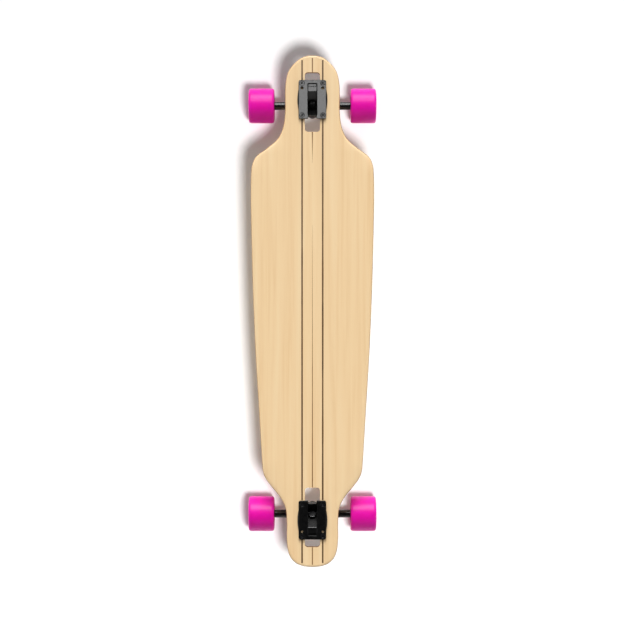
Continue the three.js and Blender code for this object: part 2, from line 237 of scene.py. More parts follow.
def black_coat(name):
    """A glossy black coat over a casting, with the casting's slight unevenness under it."""
    shader = Shader(name, Coat_Weight=0.2, Coat_Roughness=0.08, Specular_IOR_Level=0.34)
    uneven = shader.noise((140, 140, 140), detail=2)
    grain = shader.noise((1600, 1600, 1600), detail=3)
    tone = shader.ramp(uneven, (0.3, (0.003, 0.003, 0.0034, 1)), (0.75, (0.008, 0.0079, 0.0077, 1)))
    normal = shader.bump(grain, 0.00005, 0.35, shader.bump(uneven, 0.0004, 0.3))
    return shader.done(Base_Color=tone, Roughness=shader.remap(grain, 0.3, 0.7, 0.2, 0.32), Normal=normal)


def urethane(name, light, deep, rough=0.34):
    """Cast urethane: even colour with faint swirls, a satin skin and a little depth."""
    shader = Shader(name, Subsurface_Weight=0.1, Subsurface_Scale=0.003, Specular_IOR_Level=0.2)
    swirl = shader.noise((22, 22, 22), detail=3, distortion=1.2)
    skin = shader.noise((900, 900, 900), detail=4)
    tone = shader.ramp(swirl, (0.3, deep), (0.7, light))
    gloss = shader.remap(skin, 0.3, 0.7, rough - 0.06, rough + 0.08)
    return shader.done(Base_Color=tone, Roughness=gloss, Normal=shader.bump(skin, 0.00005, 0.35))


def moulded(name, colour, shade):
    shader = Shader(name, IOR=1.5)
    speck = shader.noise((1200, 1200, 1200), detail=3)
    cloud = shader.noise((60, 60, 60), detail=2)
    tone = shader.ramp(cloud, (0.3, shade), (0.7, colour))
    return shader.done(Base_Color=tone, Roughness=shader.remap(speck, 0.3, 0.7, 0.38, 0.52),
                       Normal=shader.bump(speck, 0.00004, 0.4))


def steel(name, light, dark, rough=0.28, metallic=1.0):
    """Machined and plated steel, with fine turning marks and dulled patches."""
    shader = Shader(name, Metallic=metallic)
    marks = shader.noise((2600, 500, 500), detail=3)
    patches = shader.noise((180, 180, 180), detail=3)
    tone = shader.ramp(patches, (0.3, dark), (0.7, light))
    gloss = shader.remap(patches, 0.3, 0.75, rough - 0.08, rough + 0.12)
    return shader.done(Base_Color=tone, Roughness=gloss, Normal=shader.bump(marks, 0.00002, 0.5))


PLIES = 8
MAPLE_LIGHT = srgb(242, 214, 170)
MAPLE_MID = srgb(238, 205, 157)
MAPLE_DARK = srgb(229, 191, 141)
LOOK = {
    "maple": maple("maple face", MAPLE_LIGHT, MAPLE_MID, MAPLE_DARK),
    "ply_light": maple("light veneer edge", srgb(226, 190, 142), srgb(214, 174, 124), srgb(190, 148, 98)),
    "ply_dark": maple("dark veneer edge", srgb(172, 126, 80), srgb(152, 106, 62), srgb(120, 80, 44)),
    "ply_cut": ply_edge("veneers in a cutout", srgb(196, 156, 108), srgb(138, 98, 58)),
    "stripe": stripe_ink("dark inlaid stripe", srgb(106, 74, 40), srgb(72, 46, 22)),
    "centre_line": stripe_ink("brown inlaid line", srgb(150, 112, 68), srgb(126, 88, 50)),
    "black_coat": black_coat("black coated casting"),
    "magenta": urethane("magenta urethane", srgb(238, 22, 176), srgb(228, 10, 160)),
    "cup": urethane("black urethane", (0.02, 0.02, 0.022, 1), (0.01, 0.01, 0.011, 1), 0.5),
    "core": moulded("white moulded nylon", srgb(234, 231, 224), srgb(222, 218, 210)),
    "nylon": moulded("nylon locking ring", srgb(214, 220, 226), srgb(196, 204, 212)),
    "shield": steel("black bearing shield", (0.06, 0.06, 0.065, 1), (0.03, 0.03, 0.032, 1), 0.36, 0.6),
    "zinc": steel("bright zinc steel", (0.62, 0.63, 0.65, 1), (0.46, 0.47, 0.49, 1)),
    "dark_steel": steel("black oxide steel", (0.012, 0.012, 0.013, 1), (0.006, 0.006, 0.007, 1), 0.26, 0.05),
}


# ---- Mesh building ----------------------------------------------------------------------------------

def new_object(name, mesh):
    made = bpy.data.objects.new(name, mesh)
    bpy.context.scene.collection.objects.link(made)
    return made


def finish_piece(piece, look, body, nodes=(), sharp=32):
    """Smooth shading with crisp edges, a look, a body to ride on and the CAD nodes it stands for."""
    mesh = piece.data
    mesh.shade_smooth()
    mesh.set_sharp_from_angle(angle=math.radians(sharp))
    if not mesh.materials:
        mesh.materials.append(LOOK[look])
    if body:
        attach(piece, body)
    if nodes:
        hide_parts(*nodes)
    return piece


def mesh_from(bm, name):
    bmesh.ops.remove_doubles(bm, verts=bm.verts, dist=1e-6)
    bmesh.ops.recalc_face_normals(bm, faces=bm.faces)
    mesh = bpy.data.meshes.new(name)
    bm.to_mesh(mesh)
    bm.free()
    return mesh


def rounded(profile, radius, steps=4):
    """Rounds the corners of a [radius, height] profile, and leaves points on the axis alone."""
    closed = profile[0][0] > 0
    points = [Vector(point[:2]) for point in profile]
    result = []
    for index, point in enumerate(points):
        inside = closed or 0 < index < len(points) - 1
        if not inside or point.x == 0:
            result.append(tuple(point))
            continue
        before = points[index - 1] - point
        after = points[(index + 1) % len(points)] - point
        reach = min(radius, 0.45 * before.length, 0.45 * after.length)
        start = point + before.normalized() * reach
        end = point + after.normalized() * reach
        for step in range(steps + 1):
            t = step / steps
            result.append(tuple(start * (1 - t) ** 2 + point * 2 * t * (1 - t) + end * t ** 2))
    return result


def hexagon(corner, height):
    """A six-sided ring of a turned profile, by its corner radius."""
    return (corner, height, 6)


def lathe(profile, place, segments=64):
    """A closed surface of revolution about the place's Z. A point with a third value gives a hexagon."""
    bm = bmesh.new()
    rings = []
    for point in profile:
        radius, height = point[:2]
        sixfold = len(point) == 3
        if radius == 0:
            rings.append([bm.verts.new(place @ Vector((0, 0, height * MM)))] * segments)
            continue
        ring = []
        for index in range(segments):
            angle = 2 * math.pi * index / segments
            reach = radius
            if sixfold:
                reach *= math.cos(math.pi / 6) / math.cos(angle % (math.pi / 3) - math.pi / 6)
            spot = Vector((reach * math.cos(angle), reach * math.sin(angle), height)) * MM
            ring.append(bm.verts.new(place @ spot))
        rings.append(ring)
    pairs = list(zip(rings, rings[1:]))
    if profile[0][0] > 0:
        pairs.append((rings[-1], rings[0]))
    for low, high in pairs:
        for index in range(segments):
            after = (index + 1) % segments
            corners = [low[index], low[after], high[after], high[index]]
            unique = list(dict.fromkeys(corners))
            if len(unique) > 2:
                bm.faces.new(unique)
    return bm


def prism(outline, low, high, place):
    """A plan outline in mm pulled along the place's Z from low to high."""
    bm = bmesh.new()
    under = [bm.verts.new(place @ (Vector((x, y, low)) * MM)) for x, y in outline]
    over = [bm.verts.new(place @ (Vector((x, y, high)) * MM)) for x, y in outline]
    bm.faces.new(under)
    bm.faces.new(over)
    for index in range(len(outline)):
        after = (index + 1) % len(outline)
        bm.faces.new((under[index], under[after], over[after], over[index]))
    return bm


def box(low, high, place):
    outline = [(low[0], low[1]), (high[0], low[1]), (high[0], high[1]), (low[0], high[1])]
    return prism(outline, low[2], high[2], place)


def combined(parts, name):
    """One mesh holding several closed bmesh parts."""
    whole = bmesh.new()
    for part in parts:
        bmesh.ops.recalc_face_normals(part, faces=part.faces)
        mesh = bpy.data.meshes.new("part")
        part.to_mesh(mesh)
        part.free()
        whole.from_mesh(mesh)
        bpy.data.meshes.remove(mesh)
    mesh = bpy.data.meshes.new(name)
    whole.to_mesh(mesh)
    whole.free()
    return mesh


def bake_modifiers(piece):
    """Replaces an object's mesh by what its modifiers make of it."""
    graph = bpy.context.evaluated_depsgraph_get()
    mesh = bpy.data.meshes.new_from_object(piece.evaluated_get(graph), depsgraph=graph)
    piece.modifiers.clear()
    piece.data = mesh


def carve(piece, cutters, look=None):
    tool = new_object("cutter", combined(cutters, "cutter"))
    if look:
        tool.data.materials.append(LOOK[look])
    cut = piece.modifiers.new("cut", "BOOLEAN")
    cut.operation = "DIFFERENCE"
    cut.solver = "EXACT"
    cut.use_self = True
    cut.material_mode = "TRANSFER" if look else "INDEX"
    cut.object = tool
    bake_modifiers(piece)
    bpy.data.objects.remove(tool)


def cast(name, parts, cutters, voxel, smoothing):
    """A casting: parts melted into one, hollows cut out, and every edge softened."""
    piece = new_object(name, combined(parts, name))
    carve(piece, cutters)
    melt = piece.modifiers.new("melt", "REMESH")
    melt.mode = "VOXEL"
    melt.voxel_size = voxel * MM
    soften = piece.modifiers.new("soften", "SMOOTH")
    soften.factor = 0.5
    soften.iterations = smoothing
    bake_modifiers(piece)
    return piece


def rod(radius, low, high):
    """The profile of a plain cylinder."""
    return [(0, low), (radius, low), (radius, high), (0, high)]


def turned(name, profile, place, look, body, nodes=(), segments=64, sharp=32):
    mesh = mesh_from(lathe(profile, place, segments), name)
    return finish_piece(new_object(name, mesh), look, body, nodes, sharp)


def threads(radius, low, high, pitch=1.2, depth=0.35):
    """The profile of a threaded stretch, as a ring of grooves climbing from low to high."""
    turns = int((high - low) / pitch)
    profile = []
    for turn in range(turns):
        base = low + turn * pitch
        profile += [(radius, base), (radius - depth, base + pitch / 2)]
    return profile + [(radius, high)]


def spline(points, steps):
    """Points along a Catmull-Rom curve through the given ones."""
    result = []
    for index in range(len(points) - 1):
        near = [min(max(index + offset, 0), len(points) - 1) for offset in (-1, 0, 1, 2)]
        a, b, c, d = (Vector(points[place]) for place in near)
        for step in range(steps):
            t = step / steps
            slope = (c - a) * t
            bend = (2 * a - 5 * b + 4 * c - d) * t * t
            twist = (3 * b - a - 3 * c + d) * t ** 3
            result.append((2 * b + slope + bend + twist) / 2)
    return result + [Vector(points[-1])]


ARC_STEPS = 8


def arc(middle, radius, start, end):
    """Points along part of a circle, between two angles in degrees."""
    turns = [start + (end - start) * step / ARC_STEPS for step in range(ARC_STEPS + 1)]
    angles = [math.radians(turn) for turn in turns]
    return [(middle[0] + radius * math.cos(angle), middle[1] + radius * math.sin(angle)) for angle in angles]


def rounded_rectangle(left, right, low, high, radius):
    return [
        *arc((right - radius, high - radius), radius, 0, 90),
        *arc((left + radius, high - radius), radius, 90, 180),
        *arc((left + radius, low + radius), radius, 180, 270),
        *arc((right - radius, low + radius), radius, 270, 360),
    ]


# ---- Deck -------------------------------------------------------------------------------------------

OUTLINE = [  # half width and distance along the board, nose first, in mm
    (0, 507.9), (9, 507.5), (22, 503.5), (33, 495), (42.5, 485), (49.5, 472), (53.5, 452), (54.6, 428),
    (54.2, 400), (56.6, 374), (62, 355), (72, 339), (91, 323), (110, 308.5), (118.6, 294), (121.8, 272),
    (122.4, 215), (120.6, 130), (117.8, 30), (112.8, -85), (106.2, -195), (100, -297), (97.6, -319),
    (92, -333), (80, -349.5), (66.5, -366), (57.4, -381), (52.2, -398), (51, -425), (51.2, -450),
    (49.2, -472), (43.5, -489), (32.5, -500.5), (19, -506), (8, -507.7), (0, -508),
]
CONCAVE = 6
FLAT_SHARE = 0.42
CONCAVE_FRONT, CONCAVE_REAR, CONCAVE_FADE = 275, -300, 70
CONCAVE_POWER = 1.6
RAIL_RADIUS = 4.2
HALF_COLUMNS = 14  # strips of the deck's face on each side of the middle
SPLINE_STEPS = 7  # rows of faces between two points of the outline
BOLT_U = 31.75  # bolt rows each way from the middle of the bolt pattern
SPARE_U = 22.23  # the plate's spare pair of holes
HOLE_X = 20.64
HOLE_RADIUS = 2.7
OVERCUT = 2  # how far a cutter runs past the faces it opens
WINDOW_HALF, WINDOW_OUTER, WINDOW_INNER, WINDOW_RADIUS = 15, 54, -64, 6


def ease(t):
    t = min(max(t, 0), 1)
    return t * t * (3 - 2 * t)


def rise(share, y):
    """How far the deck's surface stands above its flat middle, in mm."""
    past = max(0, (abs(share) - FLAT_SHARE) / (1 - FLAT_SHARE))
    front = ease((CONCAVE_FRONT + CONCAVE_FADE - y) / CONCAVE_FADE)
    rear = ease((y - CONCAVE_REAR + CONCAVE_FADE) / CONCAVE_FADE)
    return CONCAVE * front * rear * past ** CONCAVE_POWER


def rail_inset(depth, thickness):
    """How far the rail's surface lies inside the outline at a depth below the deck's top."""
    near = min(depth, thickness - depth)
    if near >= RAIL_RADIUS:
        return 0
    return RAIL_RADIUS - math.sqrt(RAIL_RADIUS ** 2 - (RAIL_RADIUS - near) ** 2)


def rail_direction(edge, index):
    """Straight out of the board at a point of its right edge."""
    if index == 0:
        return Vector((0, 1))
    if index == len(edge) - 1:
        return Vector((0, -1))
    along = (edge[index + 1] - edge[index - 1]).normalized()
    return Vector((-along.y, along.x))


def deck_section(point, outward, columns, depths):
    """One closed loop round the deck: over the top, down the right rail, under, and up the left rail."""
    top = DECK_TOP / MM
    thickness = DECK_THICKNESS / MM
    outline = [point - outward * rail_inset(depth, thickness) for depth in depths]
    half, y = outline[0]
    half = max(half, 0)
    over = [(share * half, y, top + rise(share, y)) for share in columns]
    rail_top = top + rise(1, y)
    right = [(max(spot.x, 0), spot.y, rail_top - depth) for spot, depth in zip(outline, depths)]
    under = [(x, along, z - thickness) for x, along, z in reversed(over)]
    left = [(-x, along, z) for x, along, z in reversed(right)]
    return [*over[:-1], *right[:-1], *under[:-1], *left[:-1]]


def rail_veneers(across):
    """The material of each strip of the two rails: face veneers, then dark and light ones by turns."""
    strips = 2 * PLIES
    veneers = {}
    for index in range(strips):
        inner = 1 < index < strips - 2
        material = (index // 2) % 2 + 1 if inner else 0
        veneers[across + index] = material
        veneers[2 * across + 2 * strips - 1 - index] = material
    return veneers


def deck_mesh():
    thickness = DECK_THICKNESS / MM
    columns = [index / HALF_COLUMNS for index in range(-HALF_COLUMNS, HALF_COLUMNS + 1)]
    depths = [thickness * index / (2 * PLIES) for index in range(2 * PLIES + 1)]
    edge = spline(OUTLINE, SPLINE_STEPS)
    bm = bmesh.new()
    sections = []
    for index, point in enumerate(edge):
        loop = deck_section(point, rail_direction(edge, index), columns, depths)
        sections.append([bm.verts.new(Vector(spot) * MM) for spot in loop])
    veneers = rail_veneers(len(columns) - 1)
    for front, back in zip(sections, sections[1:]):
        for index in range(len(front)):
            after = (index + 1) % len(front)
            face = bm.faces.new((front[index], back[index], back[after], front[after]))
            face.material_index = veneers.get(index, 0)
    bmesh.ops.remove_doubles(bm, verts=bm.verts, dist=2e-6)
    bmesh.ops.dissolve_degenerate(bm, edges=bm.edges, dist=1e-6)
    return mesh_from(bm, "deck")


def deck_cutters():
    cutters = []
    low, high = -DECK_THICKNESS / MM - OVERCUT, OVERCUT
    for truck in TRUCKS:
        place = truck_place(truck)
        window = rounded_rectangle(-WINDOW_HALF, WINDOW_HALF, WINDOW_INNER, WINDOW_OUTER, WINDOW_RADIUS)
        cutters.append(prism(window, low, high, place))
        for u in (BOLT_U, -BOLT_U):
            for x in (-HOLE_X, HOLE_X):
                spot = place @ Matrix.Translation(Vector((x, u, 0)) * MM)
                cutters.append(lathe(rod(HOLE_RADIUS, low, high), spot, 32))
    return cutters


def make_deck():
    piece = new_object("maple_deck", deck_mesh())
    for look in ("maple", "ply_light", "ply_dark"):
        piece.data.materials.append(LOOK[look])
    carve(piece, deck_cutters(), "ply_cut")
    finish_piece(piece, "maple", "deck", ["deck"], sharp=40)


INLAY_PROUD = 0.06
INLAY_DEPTH = 0.5
INLAY_STEP = 6
INLAY_WANDER = 0.16  # share of the width by which a line swells and thins
INLAY_TAPER = 0.08  # share of the width left at the centre line's fine tips
INLAY_MARGIN = 0.9  # a line's end from where the rail begins to round
CENTRE_TIPS = (294, 171)  # where the centre line thins out, behind the front truck, and starts again
END_POINTS = 12  # points of the outline in which each end widens
PLATE_GAP, WINDOW_GAP = 0.5, 0.3  # how far the lines stop from a baseplate and from a window
STRIPE_X, STRIPE_HALF = 20.5, 1.5
CENTRE_HALF = 1.15


def inlay(name, look, runs, x, half):
    """Thin strips let into the deck's flat middle.

    Each run is its first and last distance along the board, and the share of the width it has at each.
    """
    bm = bmesh.new()
    top = DECK_TOP / MM + INLAY_PROUD
    for start, end, start_share, end_share in runs:
        count = max(int(abs(end - start) / INLAY_STEP), 2)
        previous = None
        for index in range(count + 1):
            t = index / count
            y = start + (end - start) * t
            wander = noise.noise(Vector((x * 0.31, y * 0.021, 4.2))) * INLAY_WANDER
            width = half * (start_share + (end_share - start_share) * t) * (1 + wander)
            left, right, low = x - width, x + width, top - INLAY_DEPTH
            spots = [(left, y, top), (right, y, top), (right, y, low), (left, y, low)]
            ring = [bm.verts.new(Vector(spot) * MM) for spot in spots]
            if previous:
                for corner in range(4):
                    after = (corner + 1) % 4
                    bm.faces.new((previous[corner], previous[after], ring[after], ring[corner]))
            else:
                bm.faces.new(ring)
            previous = ring
        bm.faces.new(previous)
    finish_piece(new_object(name, mesh_from(bm, name)), look, "deck")


def deck_ends(x):
    """Where a line at this distance from the middle meets the rounded rail at the nose and at the tail."""
    reach = []
    for half in (OUTLINE[:END_POINTS], OUTLINE[:-END_POINTS:-1]):
        for (near_x, near_y), (far_x, far_y) in zip(half, half[1:]):
            if near_x <= x <= far_x:
                share = (x - near_x) / (far_x - near_x)
                edge = near_y + (far_y - near_y) * share
                reach.append(edge - math.copysign(RAIL_RADIUS + INLAY_MARGIN, edge))
                break
    return reach


def make_inlays():
    spans = []
    for truck in TRUCKS:
        low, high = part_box(f"{truck}_baseplate")
        spans.append((high[1] / MM + PLATE_GAP, low[1] / MM - PLATE_GAP))
    (front_high, front_low), (rear_high, rear_low) = spans
    for side, x in (("left", -STRIPE_X), ("right", STRIPE_X)):
        nose, tail = deck_ends(STRIPE_X + STRIPE_HALF)
        runs = [(nose, front_high, 1, 1), (front_low, rear_high, 1, 1), (rear_low, tail, 1, 1)]
        inlay(f"{side}_pinstripe", "stripe", runs, x, STRIPE_HALF)
    windows = {}
    for truck in TRUCKS:
        place = truck_place(truck)
        windows[truck] = [(place @ (Vector((0, u, 0)) * MM)).y / MM for u in (WINDOW_OUTER, WINDOW_INNER)]
    nose, tail = deck_ends(CENTRE_HALF)
    runs = [
        (nose, windows["front"][0] + WINDOW_GAP, 1, 1),
        (windows["front"][1] - WINDOW_GAP, CENTRE_TIPS[0], 1, INLAY_TAPER),
        (CENTRE_TIPS[1], windows["rear"][1] + WINDOW_GAP, INLAY_TAPER, 1),
        (windows["rear"][0] - WINDOW_GAP, tail, 1, 1),
    ]
    inlay("centre_line", "centre_line", runs, 0, CENTRE_HALF)


# ---- Trucks -----------------------------------------------------------------------------------------

SEAT_Z = 19  # the bushing's seat and the kingpin's head, along the kingpin
HEAD_Z = 33
PLATE_HALF, PLATE_OUTER, PLATE_INNER = 27.4, 38, -38.8
FOOT_HALF = 21  # the swelling on each long side of the plate
FOOT_STEPS = 24
POCKET_HALF = 9.3
POCKET_FLOOR = 1.5
LAND_INNER, LAND_OUTER, LAND_TOP = 15.4, 25.1, 5  # the rib that crosses the pocket
CLEAR = 8  # a height clear above the plate


def steer_in_truck(truck):
    """Turns (along the steering axis, up the kingpin) into (outward, up) of the truck, in mm."""
    inverse = truck_place(truck).inverted() @ steer_place(truck)

    def convert(along, up):
        spot = inverse @ (Vector((0, along, up)) * MM)
        return spot.y / MM, spot.z / MM
    return convert


def sideways(outline, half, truck_matrix):
    """An (outward, up) outline pulled across the truck to both sides."""
    turn = Matrix(((0, 0, 1, 0), (1, 0, 0, 0), (0, 1, 0, 0), (0, 0, 0, 1)))
    return prism(outline, -half, half, truck_matrix @ turn)


def baseplate(truck):
    place = truck_place(truck)
    steering = steer_place(truck)
    turning = steering_axis_place(truck)
    steer = steer_in_truck(truck)
    plate = rounded_rectangle(-PLATE_HALF, PLATE_HALF, PLATE_INNER, PLATE_OUTER, 4)
    foot = []
    for index in range(FOOT_STEPS + 1):
        t = index / FOOT_STEPS
        foot.append((PLATE_HALF - 1 + 3.2 * math.sin(math.pi * t) ** 0.5, -FOOT_HALF + 2 * FOOT_HALF * t))
    feet = [[(-x, y) for x, y in foot], foot]
    outer_y = steer(15, SEAT_Z)[0]
    wedge = [(outer_y, 1), steer(15, SEAT_Z), steer(-40, SEAT_Z), steer(-43, 8), steer(-55, 6), (-27, -64),
             (-35, 1)]
    tower = rounded([(0, -57), (7, -57), (10.8, -52), (10.8, -42), (0, -42)], 1.5)
    parts = [
        prism(plate, 0.1, 6, place),
        *(prism(outline, 0.1, 4.4, place) for outline in feet),
        sideways(wedge, 14, place),
        lathe(tower, turning, 48),
    ]
    head_y, head_z = steer(0, HEAD_Z)
    floor_end = head_y + (POCKET_FLOOR - head_z)
    deep = [(-31.5, CLEAR), (-31.5, -6), steer(-9, HEAD_Z), (floor_end, POCKET_FLOOR),
            (LAND_INNER, POCKET_FLOOR), (LAND_INNER, CLEAR)]
    shallow = rounded_rectangle(-POCKET_HALF, POCKET_HALF, LAND_OUTER, 31.5, 2.5)
    sink = [(0, -1), (HOLE_RADIUS, -1), (HOLE_RADIUS, 3.2), (4.7, 5.5), (4.7, CLEAR), (0, CLEAR)]
    cutters = [
        sideways(deep, POCKET_HALF, place),
        prism(shallow, POCKET_FLOOR, CLEAR, place),
        box((-POCKET_HALF, LAND_INNER - 1, LAND_TOP), (POCKET_HALF, LAND_OUTER + 1, CLEAR), place),
        box((-8.5, -41, -20), (8.5, -31, CLEAR), place),
        lathe(rod(5.06, SEAT_Z - 2, HEAD_Z + 4), steering, 32),
        lathe(rod(8.3, -54.4, -40), turning, 40),
    ]
    for x in (-HOLE_X, HOLE_X):
        for u in (BOLT_U, -BOLT_U):
            cutters.append(lathe(sink, place @ Matrix.Translation(Vector((x, u, 0)) * MM), 32))
        spot = place @ Matrix.Translation(Vector((x, SPARE_U, 0)) * MM)
        cutters.append(lathe(rod(HOLE_RADIUS, -1, CLEAR), spot, 32))
    piece = cast(f"{truck}_baseplate_casting", parts, cutters, 0.5, 3)
    finish_piece(piece, "black_coat", "deck", [f"{truck}_baseplate"], sharp=60)


ARM = 90  # the hanger's end faces from the middle
RING_BORE = 8.5
SEAT_RADIUS = 13.2  # the bushings' seats in the ring


def hanger(truck):
    steering = steer_place(truck)
    turning = steering_axis_place(truck)
    body = f"{truck}_hanger"
    axle = across_place(centre(f"{truck}_axle"), "right")
    ring = rounded(rod(17, -7, 7), 2)
    tube = [(0, -ARM), (7.4, -ARM), (8, -ARM + 0.6), (8, -56), (8.3, -50), (9, -40),
            (9, 40), (8.3, 50), (8, 56), (8, ARM - 0.6), (7.4, ARM), (0, ARM)]
    nose = [(0, -51.4), (2.4, -51.2), (3.8, -50.6), (5, -49), (5.7, -47), (6.6, -43), (7, -38), (7, -30),
            (0, -30)]
    curve = [(-15.5, 2), (-16.3, -8), (-20, -16.5), (-28, -21.5), (-38, -24.2), (-50, -26)]
    left = spline(curve, 6)
    outline = [*left, (-50, -38), (50, -38), *((-x, y) for x, y in reversed(left))]
    rib = [(-3, -30), (3, -30), (3, -8), (-3, -8)]
    parts = [
        lathe(ring, steering, 64),
        lathe(tube, axle, 48),
        lathe(nose, turning, 40),
        prism(outline, -7.5, 3.5, steering),
        prism(rib, -9.5, 0, steering),
    ]
    cutters = [
        lathe(rod(RING_BORE, -12, 12), steering, 48),
        lathe(rod(SEAT_RADIUS, 3, 12), steering, 64),
        lathe(rod(SEAT_RADIUS, -12, -3), steering, 64),
        lathe(rod(4.3, -ARM - OVERCUT, ARM + OVERCUT), axle, 32),
    ]
    piece = cast(f"{truck}_hanger_casting", parts, cutters, 0.55, 4)
    finish_piece(piece, "black_coat", body, [f"{truck}_hanger"], sharp=60)


def bushing(name, profile, truck, node):
    place = steer_place(truck)
    piece = turned(name, rounded(profile, 1.6, 5), place, "magenta", None, [node], 64)
    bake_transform(piece)


def kingpin_set(truck):
    place = steer_place(truck)
    turning = steering_axis_place(truck)
    bolt = [(0, -32), (3.9, -32), *threads(4.76, -31.2, -16, 1.1, 0.3), (4.76, 33.3), (6.6, 33.3),
            hexagon(8.25, 33.9), hexagon(8.25, 38.2), (7.1, 39.2), (6.2, 39.4), (5.8, 39.0), (0, 39.0)]
    turned(f"{truck}_kingpin_bolt", bolt, place, "dark_steel", "deck", [f"{truck}_kingpin"], 60)
    nut = [(5.06, -25.8), (6.9, -25.8), hexagon(8.25, -25.2), hexagon(8.25, -20.2), (7.1, -19.6),
           (5.06, -19.6)]
    turned(f"{truck}_kingpin_lock_nut", nut, place, "zinc", "deck", [f"{truck}_kingpin_nut"], 60)
    collar = rounded([(5.0, -28.6), (6.3, -28.6), (6.3, -25.9), (5.0, -25.9)], 0.6)
    turned(f"{truck}_kingpin_nut_collar", collar, place, "nylon", "deck", (), 48)
    washer = rounded([(5.2, -19.3), (12.4, -19.3), (13.2, -18.4), (13.2, -15), (11.9, -15), (11.6, -17.3),
                      (5.2, -17.3)], 0.7)
    turned(f"{truck}_cupped_washer", washer, place, "zinc", "deck", [f"{truck}_road_washer"], 64)
    cup = [(0, -54), (8, -54), (8, -43.4), (7.7, -43), (7.4, -43), (6.4, -47), (5.6, -50), (4.6, -51.8),
           (0, -52.6)]
    turned(f"{truck}_pivot_cup_moulding", cup, turning, "cup", "deck", [f"{truck}_pivot_cup"], 48)
    barrel = [(5.2, 3.3), (12.2, 3.3), (12.5, 6), (12.5, 16.4), (12.2, 18.7), (5.2, 18.7)]
    bushing(f"{truck}_barrel_bushing", barrel, truck, f"{truck}_board_bushing")
    cone = [(5.2, -17), (10.2, -17), (12.4, -5.4), (12.1, -3.3), (5.2, -3.3)]
    bushing(f"{truck}_cone_bushing", cone, truck, f"{truck}_road_bushing")


def axle(truck):
    place = across_place(centre(f"{truck}_axle"), "right")
    right = [(4, 100), *threads(4, 113, 122.8, 1.1, 0.3), (3.9, 123.2), (3.2, 124), (0, 124)]
    left = [(radius, -height) for radius, height in reversed(right)]
    turned(f"{truck}_axle_rod", [*left, *right], place, "zinc", f"{truck}_hanger", [f"{truck}_axle"], 40)


def fasteners(truck):
    for side in SIDES:
        for end in ENDS:
            node = f"{truck}_bolt_{side}_{end}"
            middle = centre(node)
            place = axes((1, 0, 0), (0, 1, 0), (0, 0, 1), (middle.x, middle.y, DECK_TOP))
            bolt = [(0, -18.5), (1.9, -18.5), *threads(2.4, -18, -10, 0.8, 0.25), (2.4, 3.5), (4.25, 5.4),
                    (4.35, 5.7), (4.2, 5.9), (2.1, 5.9), hexagon(1.95, 5.6), hexagon(1.9, 3.9), (0, 3.6)]
            turned(f"{node}_countersunk", bolt, place, "dark_steel", "deck", [node], 48)
            nut = [(HOLE_RADIUS, -15), (3.9, -15), hexagon(4.62, -14.6), hexagon(4.62, -11.7), (4, -11.3),
                   (HOLE_RADIUS, -11.3)]
            name = f"{truck}_nut_{side}_{end}"
            turned(f"{name}_hexagon", nut, place, "dark_steel", "deck", [name], 48)
            collar = rounded([(2.55, -16.1), (3.6, -16.1), (3.6, -15.05), (2.55, -15.05)], 0.35)
            turned(f"{name}_collar", collar, place, "nylon", "deck", (), 32)


# ---- Wheels -----------------------------------------------------------------------------------------

WHEEL_HALF, CORE_R = 26, 19


def wheel(truck, side):
    name = f"{truck}_{side}"
    body = f"{name}_wheel"
    hanger_body = f"{truck}_hanger"
    place = across_place(centre(f"{body}_tyre"), side)
    flank = [(CORE_R + 0.1, 12.6), (20.3, 13.4), (21.6, 16), (23.4, 24), (24.6, WHEEL_HALF),
             (30.2, WHEEL_HALF), (33.4, 24.9), (34.7, 22.6), (35, 19.5)]
    mirrored = [(radius, -height) for radius, height in flank]
    tyre = rounded([*mirrored, *reversed(flank)], 1.4, 4)
    turned(f"{body}_urethane", tyre, place, "magenta", body, [f"{body}_tyre"], 96, sharp=50)
    core(name, body, place)
    for row, direction in (("outboard", 1), ("inboard", -1)):
        bearing(f"{name}_{row}_bearing", place, direction, body, hanger_body)
    spacer = rounded([(4.3, -5), (5.3, -5), (5.3, 5), (4.3, 5)], 0.3)
    node = f"{name}_spacer_and_inner_races"
    turned(f"{name}_bearing_spacer", spacer, place, "zinc", hanger_body, [node], 40)
    nut = [(4.3, 13), (6.3, 13), hexagon(7.3, 13.5), hexagon(7.3, 17.3), (6.4, 17.9), (5.7, 18), (4.3, 18)]
    turned(f"{name}_axle_lock_nut", nut, place, "zinc", hanger_body, [f"{name}_axle_nut"], 60)
    collar = rounded([(4.25, 18.05), (5.6, 18.05), (5.6, 19.6), (4.25, 19.6)], 0.4)
    turned(f"{name}_axle_nut_collar", collar, place, "nylon", hanger_body, (), 40)


def core(name, body, place):
    """The moulded hub: a barrel with bearing seats, and ribs standing in a channel on each face."""
    seat = [(9.4, 5), (11, 5), (11, 12.6), (11.6, 13.2), (12.6, 13.2), (13, 12.2), (13, 10), (17.4, 10),
            (17.4, 12.6), (18.2, 12.8), (CORE_R, 12.2)]
    low = [(radius, -height) for radius, height in seat]
    parts = [lathe(rounded([*low, *reversed(seat)], 0.3, 2), place, 72)]
    for step in range(8):
        turn = place @ Matrix.Rotation(2 * math.pi * step / 8, 4, "Z")
        for z in (9.6, -12.2):
            parts.append(box((12.7, -0.9, z), (17.6, 0.9, z + 2.6), turn))
    piece = new_object(f"{name}_core_moulding", combined(parts, f"{name}_core_moulding"))
    finish_piece(piece, "core", body, [f"{body}_core"], sharp=40)


